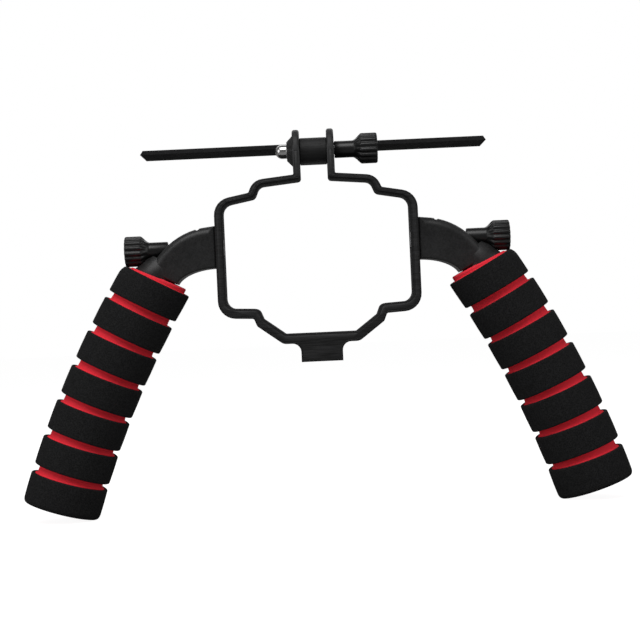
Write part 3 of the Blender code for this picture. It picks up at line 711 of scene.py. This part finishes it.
def round_outer_corner(item, side):
    """Draw the foam in at the top of the first ring, on the side away from the hoop."""
    start, end = band_spans()[0]
    matrix = band_matrix((start + end) / 2, side)
    back = matrix.inverted()
    for vertex in item.data.vertices:
        place = back @ vertex.co / MM
        depth = (start - end) / 2 + CORNER_LENGTH - place.z
        outward = place.x / max(math.hypot(place.x, place.y), 0.001)
        if depth <= 0.0 or outward <= 0.0:
            continue
        share = min(depth / CORNER_LENGTH, 1.0)
        scale = 1.0 - CORNER_DRAW * (share * outward) ** 2 / GRIP_RADIUS_TOP
        place.x *= scale
        place.y *= scale
        vertex.co = matrix @ (place * MM)


# ---- pieces ----

class PieceOperator(bpy.types.Operator):
    """Shared start of every piece's operator."""
    bl_options = {"REGISTER", "UNDO"}


class BRACKET_OT_hoop(PieceOperator):
    """Split hoop with printed lines along its outline"""
    bl_idname = "bracket.hoop"
    bl_label = "Hoop"

    def execute(self, context):
        item = copy_of_node("hoop_frame", "hoop_shell")
        bpy.ops.object.mode_set(mode="EDIT")
        line = sizes().print_line
        dip = sizes().print_dip
        inside = (HOOP_HALF_DEPTH - 0.1) * MM
        for side in (-1, 1):
            found = select_faces(item, lambda face: face.normal.y * side > SQUARE_ON
                                 and face.calc_center_median().y * side > inside
                                 and face.calc_area() > LEAST_FLAT_AREA * MM * MM)
            if not found:
                raise RuntimeError("the hoop has no flat face to print lines on")
            bpy.ops.mesh.inset(thickness=RIM_WIDTH * MM, depth=RIM_RISE * MM)
            bpy.ops.mesh.inset(thickness=line, depth=0.0)
            bpy.ops.mesh.inset(thickness=line / 2, depth=-dip)
            bpy.ops.mesh.inset(thickness=line / 2, depth=dip)
        straighten_ear_tops(item)
        select_ear_edges(item)
        bpy.ops.mesh.bevel(offset=EAR_EDGE * MM, segments=4)
        bpy.ops.object.mode_set(mode="OBJECT")
        shade(item, 50.0)
        finish_piece(item, "frame", "printed_plastic", printed_finish(), "hoop_frame")
        # Side walls and rims below the ears get a darker copy of the printed finish: painted
        # shade.
        item.data.materials.append(printed_finish(
            "printed_side_painted_shade", scaled(colours().printed, 0.62), 0.62, 0.15))
        for face in item.data.polygons:
            if abs(face.normal.y) < FRONT_ON and face.center.z < (AXIS_HEIGHT - EAR_RADIUS) * MM:
                face.material_index = 1
        return {"FINISHED"}


class BRACKET_OT_cap_nut(PieceOperator):
    """Polished cap nut in the left ear's cone"""
    bl_idname = "bracket.cap_nut"
    bl_label = "Cap nut"

    def execute(self, context):
        steps = 48
        dome = sizes().dome_radius / MM
        shoulder = CAP_NUT_SEAT_X - CAP_NUT_HEX_LENGTH
        tip = CAP_NUT_SEAT_X - CAP_NUT_LENGTH

        def ring(x, radius, hexagon):
            points = []
            for i in range(steps):
                angle = 2 * math.pi * i / steps
                flat = NUT_ACROSS_FLATS / 2 / math.cos((angle % (math.pi / 3)) - math.pi / 6)
                r = radius + (min(flat, radius + 1.0) - radius) * hexagon
                points.append((x, r * math.sin(angle), AXIS_HEIGHT + r * math.cos(angle)))
            return points

        rings = [ring(CAP_NUT_SEAT_X, 3.6, 0.0), ring(CAP_NUT_SEAT_X, 4.0, 1.0),
                 ring(shoulder + 0.5, 4.0, 1.0), ring(shoulder, 3.95, 0.0),
                 ring(shoulder - 0.1, dome + 0.12, 0.0), ring(shoulder - 0.3, dome, 0.0)]
        straight = tip + dome
        rings += [ring(shoulder + (straight - shoulder) * share, dome, 0.0)
                  for share in (0.5, 1.0)]
        for step in range(1, 14):
            angle = math.pi / 2 * step / 14
            rings.append(ring(straight - dome * math.sin(angle), dome * math.cos(angle), 0.0))
        item = ring_body("cap_nut_dome", rings)
        finish = metal_finish("polished_chrome", colours().chrome, 0.07, 0.08)
        finish_piece(item, "frame", "chrome", finish, "acorn_nut")
        return {"FINISHED"}


class BRACKET_OT_plate(PieceOperator):
    """Thin tilting plate and the hub between the ears"""
    bl_idname = "bracket.plate"
    bl_label = "Tilting plate"

    def execute(self, context):
        item = copy_of_node("tilt_plate", "plate_panel")
        bpy.ops.object.mode_set(mode="EDIT")
        for side in (-1, 1):
            select_faces(item, lambda face: face.normal.x * side > SQUARE_ON
                         and abs(abs(face.calc_center_median().x) - HUB_HALF_WIDTH * MM) < MM)
            bpy.ops.mesh.inset(thickness=0.3 * MM, depth=HUB_FACE_RISE * MM)
        bpy.ops.object.mode_set(mode="OBJECT")
        bevel = item.modifiers.new("edges", "BEVEL")
        bevel.width = sizes().plate_edge
        bevel.segments = 3
        bevel.limit_method = "ANGLE"
        bevel.angle_limit = math.radians(40.0)
        bpy.ops.object.modifier_apply(modifier=bevel.name)
        shade(item, 45.0)
        weigh_normals(item)
        plate = moulded_finish("plate_black", colours().plate, 0.80, 1800.0, 0.06, 0.03,
                               wear_highlight_low=2.0, wear_highlight_high=3.0, specular=0.03)
        # Hub in printed black plastic, darkened to 0.6 of the hoop's colour as painted shade where
        # it sits between the ears.
        hub = printed_finish("hub_black_painted_shade", scaled(colours().printed, 0.6), 0.56)
        finish_piece(item, "plate", "plate_plastic", plate, "tilt_plate")
        item.data.materials.append(hub)
        for face in item.data.polygons:
            if abs(face.center.x) <= (HUB_HALF_WIDTH + 0.4) * MM and (
                    face.center.y < PLATE_NEAR * MM or face.center.z < (AXIS_HEIGHT + 2.6) * MM):
                face.material_index = 1
        return {"FINISHED"}


class BRACKET_OT_knobs(PieceOperator):
    """Three fluted knobs, modelled once"""
    bl_idname = "bracket.knobs"
    bl_label = "Knobs"

    def execute(self, context):
        flutes = sizes().flutes
        depth = sizes().flute_depth / MM
        radius = sizes().knob_radius / MM
        steps = flutes * 10
        head = NECK_LENGTH + KNOB_CONE
        end = head + KNOB_LENGTH

        def ring(x, r, flute):
            points = []
            for i in range(steps):
                angle = 2 * math.pi * i / steps
                phase = (flutes * i / steps + 0.5) % 1.0 - 0.5
                across = min(abs(phase) / FLUTE_SHARE, 1.0)
                groove = math.cos(across * math.pi / 2) ** FLUTE_POWER
                here = r - depth * groove * flute
                points.append((x, here * math.sin(angle), here * math.cos(angle)))
            return points

        profile = [(6.0, BOLT_BORE, 0), (0.25, BOLT_BORE, 0), (0.0, 3.05, 0), (0.0, 4.1, 0),
                   (0.1, 4.3, 0), (0.35, NECK_RADIUS, 0), (NECK_LENGTH - 0.9, NECK_RADIUS, 0),
                   (NECK_LENGTH - 0.3, 4.58, 0), (NECK_LENGTH + 0.4, 5.0, 0.0),
                   (NECK_LENGTH + 1.2, 5.7, 0.12), (NECK_LENGTH + 2.0, 6.5, 0.45),
                   (NECK_LENGTH + 2.7, 7.2, 0.8), (head - 0.15, 7.72, 0.95),
                   (head + 0.3, 7.94, 1.0), (head + 0.8, radius, 1.0), (end - 1.1, radius, 1.0),
                   (end - 0.6, 7.93, 1.0), (end - 0.25, 7.72, 1.0), (end - 0.05, 7.42, 0.95),
                   (end, 7.1, 0.8), (end, 6.5, 0.2), (end, 6.0, 0.0), (end - 0.15, 5.75, 0.0),
                   (end - 0.6, 5.6, 0.0), (end - 0.75, 5.4, 0.0), (end - 0.75, 3.0, 0.0)]
        template = ring_body("knob_template", [ring(*spot) for spot in profile], smooth_angle=50.0)
        finish = moulded_finish("knob_black", colours().knob, 0.34, 2400.0, 0.05, 0.015)
        for name, node, body, x, height, turn in (
                ("clamp_screw_knob", "clamp_knob", "clamp_screw", CLAMP_NECK_X, AXIS_HEIGHT, 1),
                ("left_screw_knob", "left_knob", "left_screw", -SIDE_NECK_X, SIDE_AXIS_HEIGHT, -1),
                ("right_screw_knob", "right_knob", "right_screw", SIDE_NECK_X, SIDE_AXIS_HEIGHT,
                 1)):
            matrix = Matrix.Translation((x * MM, 0.0, height * MM)) @ Matrix.Diagonal(
                (turn, 1.0, 1.0, 1.0))
            item = placed_copy(template, name, matrix)
            shade(item, 50.0)
            finish_piece(item, body, "knob_plastic", finish, node)
        bpy.data.objects.remove(template)
        return {"FINISHED"}


class BRACKET_OT_arms(PieceOperator):
    """Both curved arms with the cores inside the foam"""
    bl_idname = "bracket.arms"
    bl_label = "Arms"

    def execute(self, context):
        finish = moulded_finish("moulded_black", colours().moulded, 0.40, 1400.0, 0.08, 0.05,
                                specular=0.34, contrast=0.6)
        for name, side in SIDES:
            item = copy_of_node(name + "_arm", name + "_arm_body")
            shoulder = self.shoulder(side)
            make_active(item)
            shoulder.select_set(True)
            bpy.ops.object.join()
            shade(item, 40.0)
            weigh_normals(item)
            finish_piece(item, name + "_handle", "moulded_plastic", finish, name + "_arm")
        return {"FINISHED"}

    def shoulder(self, side):
        """Low cone on the core, between the foam and the knob's neck."""
        middle = sum(band_spans()[0]) / 2
        matrix = band_matrix(middle, side)

        def ring(along, radius, outward):
            return placed_circle(matrix, radius, along - middle, CONE_STEPS, outward)

        item = ring_body("shoulder", [
            ring(0.6, 10.8, 1.8), ring(-1.5, 10.8, 1.8), ring(-3.0, 10.5, 1.7),
            ring(-5.5, 10.1, 1.4), ring(-8.0, 9.4, 1.0), ring(-11.0, 8.2, 0.3)], smooth_angle=60.0)
        press_by_knob(item, side)
        return item


class BRACKET_OT_foam_sleeves(PieceOperator):
    """Red foam under the black rings: grooves, collar and lower end"""
    bl_idname = "bracket.foam_sleeves"
    bl_label = "Red foam sleeves"

    def execute(self, context):
        finish = foam_finish("foam_red", colours().red_foam, 1.0, 0.94, 1500.0)
        for name, side in SIDES:
            item = ring_body(name + "_red_sleeve", self.rings(side), closed=True,
                             smooth_angle=60.0)
            round_outer_corner(item, side)
            press_by_knob(item, side)
            shade(item, 60.0)
            finish_piece(item, name + "_handle", "red_foam", finish, name + "_foam_sleeve")
        return {"FINISHED"}

    def rings(self, side):
        """Circles down the outside of the sleeve and up its bore."""
        fillet = sizes().groove_fillet / MM
        skin = sizes().skin / MM
        spans = band_spans()

        def ring(middle, distance, radius, lean=0.0):
            return placed_circle(band_matrix(middle, side), radius, distance - middle,
                                 SLEEVE_STEPS, lean=lean)

        first = sum(spans[0]) / 2
        floor = grip_radius(0.0) - GROOVE_DEPTH
        rings = [ring(first, -COLLAR, radius, COLLAR_LEAN)
                 for radius in (CORE_BORE + 0.4, 11.5, 13.0, 14.2)]
        rings += [ring(first, along, radius, COLLAR_LEAN) for along, radius in
                  arc((-COLLAR + 0.8, floor - 0.8), 0.8, -90.0, 0.0, 5)]
        rings.append(ring(first, -0.2, floor))
        for number, (start, end) in enumerate(spans):
            middle = (start + end) / 2
            floor = grip_radius(middle) - GROOVE_DEPTH
            rib = grip_radius(middle) - skin - GAP
            if number:
                rings.append(ring(middle, start - 0.9, floor))
                rings += [ring(middle, start - fillet + fillet * math.sin(t), floor + fillet
                               - fillet * math.cos(t)) for t in FILLET_ANGLES]
            rings += [ring(middle, start + 0.05, rib - 0.1), ring(middle, start + 0.3, rib),
                      ring(middle, middle, rib)]
            if number == BAND_COUNT - 1:
                rings += [ring(middle, end - 0.9, rib - 0.3), ring(middle, end - 0.25, rib - 0.9),
                          ring(middle, end, rib - 1.8), ring(middle, end, 12.5)]
            else:
                rings += [ring(middle, end - 0.3, rib), ring(middle, end - 0.05, rib - 0.1)]
                rings += [ring(middle, end + fillet - fillet * math.sin(t), floor + fillet
                               - fillet * math.cos(t)) for t in reversed(FILLET_ANGLES)]
                rings.append(ring(middle, end + 0.9, floor))
        last = sum(spans[-1]) / 2
        rings.append(ring(last, GRIP_LENGTH, CORE_BORE + 0.4))
        rings.append(ring(last, GRIP_LENGTH - 0.4, CORE_BORE))
        for start, end in reversed(spans[:-1]):
            rings.append(ring((start + end) / 2, end, CORE_BORE))
            rings.append(ring((start + end) / 2, start, CORE_BORE))
        rings.append(ring(first, -COLLAR + 0.4, CORE_BORE))
        return rings


class BRACKET_OT_foam_rings(PieceOperator):
    """Seven black foam rings on each grip, modelled once for all but the last"""
    bl_idname = "bracket.foam_rings"
    bl_label = "Black foam rings"

    def execute(self, context):
        finish = foam_finish("foam_black", colours().black_foam, 1.75, 0.55, 1600.0)
        spans = band_spans()
        plain = self.template("foam_ring_template", BAND_LENGTH, sizes().ring_edge / MM)
        last = self.template("last_ring_template", LAST_BAND_LENGTH, sizes().last_edge / MM)
        for name, side in SIDES:
            for number, (start, end) in enumerate(spans):
                middle = (start + end) / 2
                template = last if number == BAND_COUNT - 1 else plain
                across = grip_radius(middle) / GRIP_RADIUS_END
                item = placed_copy(template, f"{name}_foam_ring_{number + 1}",
                                   band_matrix(middle, side, across))
                if number == 0:
                    round_outer_corner(item, side)
                    press_by_knob(item, side)
                shade(item, 60.0)
                finish_piece(item, name + "_handle", "black_foam", finish,
                             f"{name}_band_{number + 1}")
        bpy.data.objects.remove(plain)
        bpy.data.objects.remove(last)
        return {"FINISHED"}

    def template(self, name, length, low_edge):
        """One ring of the largest radius, centred on its own origin."""
        outer = GRIP_RADIUS_END
        inner = outer - sizes().skin / MM
        edge = sizes().ring_edge / MM
        half = length / 2
        low_in = min(low_edge, outer - inner - 0.1)
        profile = [(-half + 0.15, inner), (-half, inner + 0.15)]
        profile += arc((-half + edge, outer - edge), edge, -90.0, 0.0, 6)
        count = 9
        for step in range(1, count):
            share = step / count
            along = -half + edge + (length - edge - low_edge) * share
            profile.append((along, outer + RING_BULGE * math.sin(math.pi * share)))
        for step in range(9):
            angle = math.pi / 2 * step / 8
            profile.append((half - low_edge + low_edge * math.sin(angle),
                            outer - low_in + low_in * math.cos(angle)))
        profile += [(half, inner + 0.1), (half - 0.15, inner)]
        rings = [circle(radius, along, RING_STEPS) for along, radius in profile]
        return ring_body(name, rings, closed=True, smooth_angle=60.0)


class BRACKET_OT_hardware(PieceOperator):
    """Steel finish on the bolts and the side nuts"""
    bl_idname = "bracket.hardware"
    bl_label = "Bolts and nuts"

    def execute(self, context):
        steel = metal_finish("brushed_steel", colours().steel, 0.28, 0.18)
        for node in ("clamp_bolt", "left_bolt", "right_bolt", "left_side_nut", "right_side_nut"):
            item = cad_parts[node]
            item.data.materials.clear()
            item.data.materials.append(steel)
        return {"FINISHED"}


# ---- stage ----

def add_area_light(name, location, target, size, power):
    """A rectangular soft light turned to a point."""
    deselect_all()
    bpy.ops.object.light_add(type="AREA", location=location)
    light = bpy.context.object
    light.name = light.data.name = name
    light.data.shape = "RECTANGLE"
    light.data.size, light.data.size_y = size
    light.data.energy = power
    light.rotation_mode = "QUATERNION"
    light.rotation_quaternion = (Vector(target) - Vector(location)).to_track_quat("-Z", "Y")


def seen_by_camera(tree):
    """1 on what the camera sees itself."""
    return tree.nodes.new("ShaderNodeLightPath").outputs["Is Camera Ray"]


class BRACKET_OT_stage(PieceOperator):
    """Pale floor, soft light and the camera"""
    bl_idname = "bracket.stage"
    bl_label = "Stage"

    def execute(self, context):
        settings = context.scene.bracket_stage
        self.add_floor(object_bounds()[0].z - 0.1 * MM)
        self.add_room(context.scene, settings.room)
        middle = (0.0, 0.0, 0.03)
        add_area_light("key_light", (-0.25, -0.75, 1.15), middle, (1.1, 0.8), settings.key)
        add_area_light("left_light", (-1.1, -0.55, 0.35), middle, (0.7, 0.9), settings.fill)
        add_area_light("right_light", (1.1, -0.55, 0.45), middle, (0.7, 0.9), settings.fill)
        add_area_light("back_light", (0.1, 1.1, 0.7), middle, (1.2, 0.8), settings.fill * 1.6)
        self.add_camera(context.scene, settings)
        context.scene.view_settings.view_transform = "Standard"
        context.scene.view_settings.look = "None"
        return {"FINISHED"}

    def add_floor(self, height):
        """A wide plain disc."""
        deselect_all()
        bpy.ops.mesh.primitive_circle_add(vertices=96, radius=6.0, fill_type="NGON",
                                          location=(0.0, 0.0, height))
        floor = bpy.context.object
        floor.name = floor.data.name = "floor"
        material = bpy.data.materials.new("floor_paper")
        material.use_nodes = True
        tree = material.node_tree
        tree.nodes.clear()
        paper = add_node(tree, "ShaderNodeBsdfDiffuse", {"Color": (0.30, 0.30, 0.30, 1.0)})
        lit = add_node(tree, "ShaderNodeEmission", {"Strength": 0.93})
        both = add_node(tree, "ShaderNodeAddShader", {0: paper.outputs[0], 1: lit.outputs[0]})
        mix = add_node(tree, "ShaderNodeMixShader", {
            0: seen_by_camera(tree), 1: paper.outputs[0], 2: both.outputs[0]})
        add_node(tree, "ShaderNodeOutputMaterial", {"Surface": mix.outputs[0]})
        floor.data.materials.append(material)
        floor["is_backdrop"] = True

    def add_room(self, scene, strength):
        """White backdrop that lights the bracket softly."""
        world = bpy.data.worlds.new("room")
        scene.world = world
        world.use_nodes = True
        tree = world.node_tree
        background = tree.nodes["Background"]
        background.inputs["Color"].default_value = (1.0, 1.0, 1.0, 1.0)
        level = stretch_node(tree, seen_by_camera(tree), 0.0, 1.0, strength)
        feed(tree, background.inputs["Strength"], level)

    def add_camera(self, scene, settings):
        """Level camera in front, turned a little about its line of sight."""
        deselect_all()
        bpy.ops.object.camera_add(location=(settings.aside, -settings.distance, settings.height))
        camera = bpy.context.object
        camera.name = camera.data.name = "front_camera"
        camera.rotation_mode = "QUATERNION"
        turn = Matrix.Rotation(math.radians(90.0), 4, "X") @ Matrix.Rotation(settings.roll, 4, "Z")
        camera.rotation_quaternion = turn.to_quaternion()
        camera.data.lens = settings.lens
        camera.data.sensor_width = 36.0
        camera.data.clip_start = 0.05
        camera.data.clip_end = 50.0
        scene.camera = camera


# ---- panel and start ----

PIECES = (BRACKET_OT_hoop, BRACKET_OT_cap_nut, BRACKET_OT_plate, BRACKET_OT_knobs,
          BRACKET_OT_arms, BRACKET_OT_foam_sleeves, BRACKET_OT_foam_rings, BRACKET_OT_hardware,
          BRACKET_OT_stage)


class BRACKET_PT_panel(bpy.types.Panel):
    """The bracket's pieces and settings"""
    bl_label = "Bracket"
    bl_space_type = "VIEW_3D"
    bl_region_type = "UI"
    bl_category = "Bracket"

    def draw(self, context):
        for piece in PIECES:
            self.layout.operator(piece.bl_idname)
        for settings in (context.scene.bracket_colours, context.scene.bracket_sizes,
                         context.scene.bracket_stage):
            box = self.layout.box()
            for name in settings.__annotations__:
                box.prop(settings, name)


CLASSES = (BracketColours, BracketSizes, BracketStage, *PIECES, BRACKET_PT_panel)


def register():
    """Add the bracket's settings, operators and panel."""
    for item in CLASSES:
        bpy.utils.register_class(item)
    bpy.types.Scene.bracket_colours = bpy.props.PointerProperty(type=BracketColours)
    bpy.types.Scene.bracket_sizes = bpy.props.PointerProperty(type=BracketSizes)
    bpy.types.Scene.bracket_stage = bpy.props.PointerProperty(type=BracketStage)


def unregister():
    """Take them away again."""
    for name in ("bracket_stage", "bracket_sizes", "bracket_colours"):
        delattr(bpy.types.Scene, name)
    for item in reversed(CLASSES):
        bpy.utils.unregister_class(item)


def main():
    """Make every piece in order, then the stage."""
    register()
    bpy.ops.bracket.hoop()
    bpy.ops.bracket.cap_nut()
    bpy.ops.bracket.plate()
    bpy.ops.bracket.knobs()
    bpy.ops.bracket.arms()
    bpy.ops.bracket.foam_sleeves()
    bpy.ops.bracket.foam_rings()
    bpy.ops.bracket.hardware()
    bpy.ops.bracket.stage()
    deselect_all()


if __name__ == "__main__":
    main()
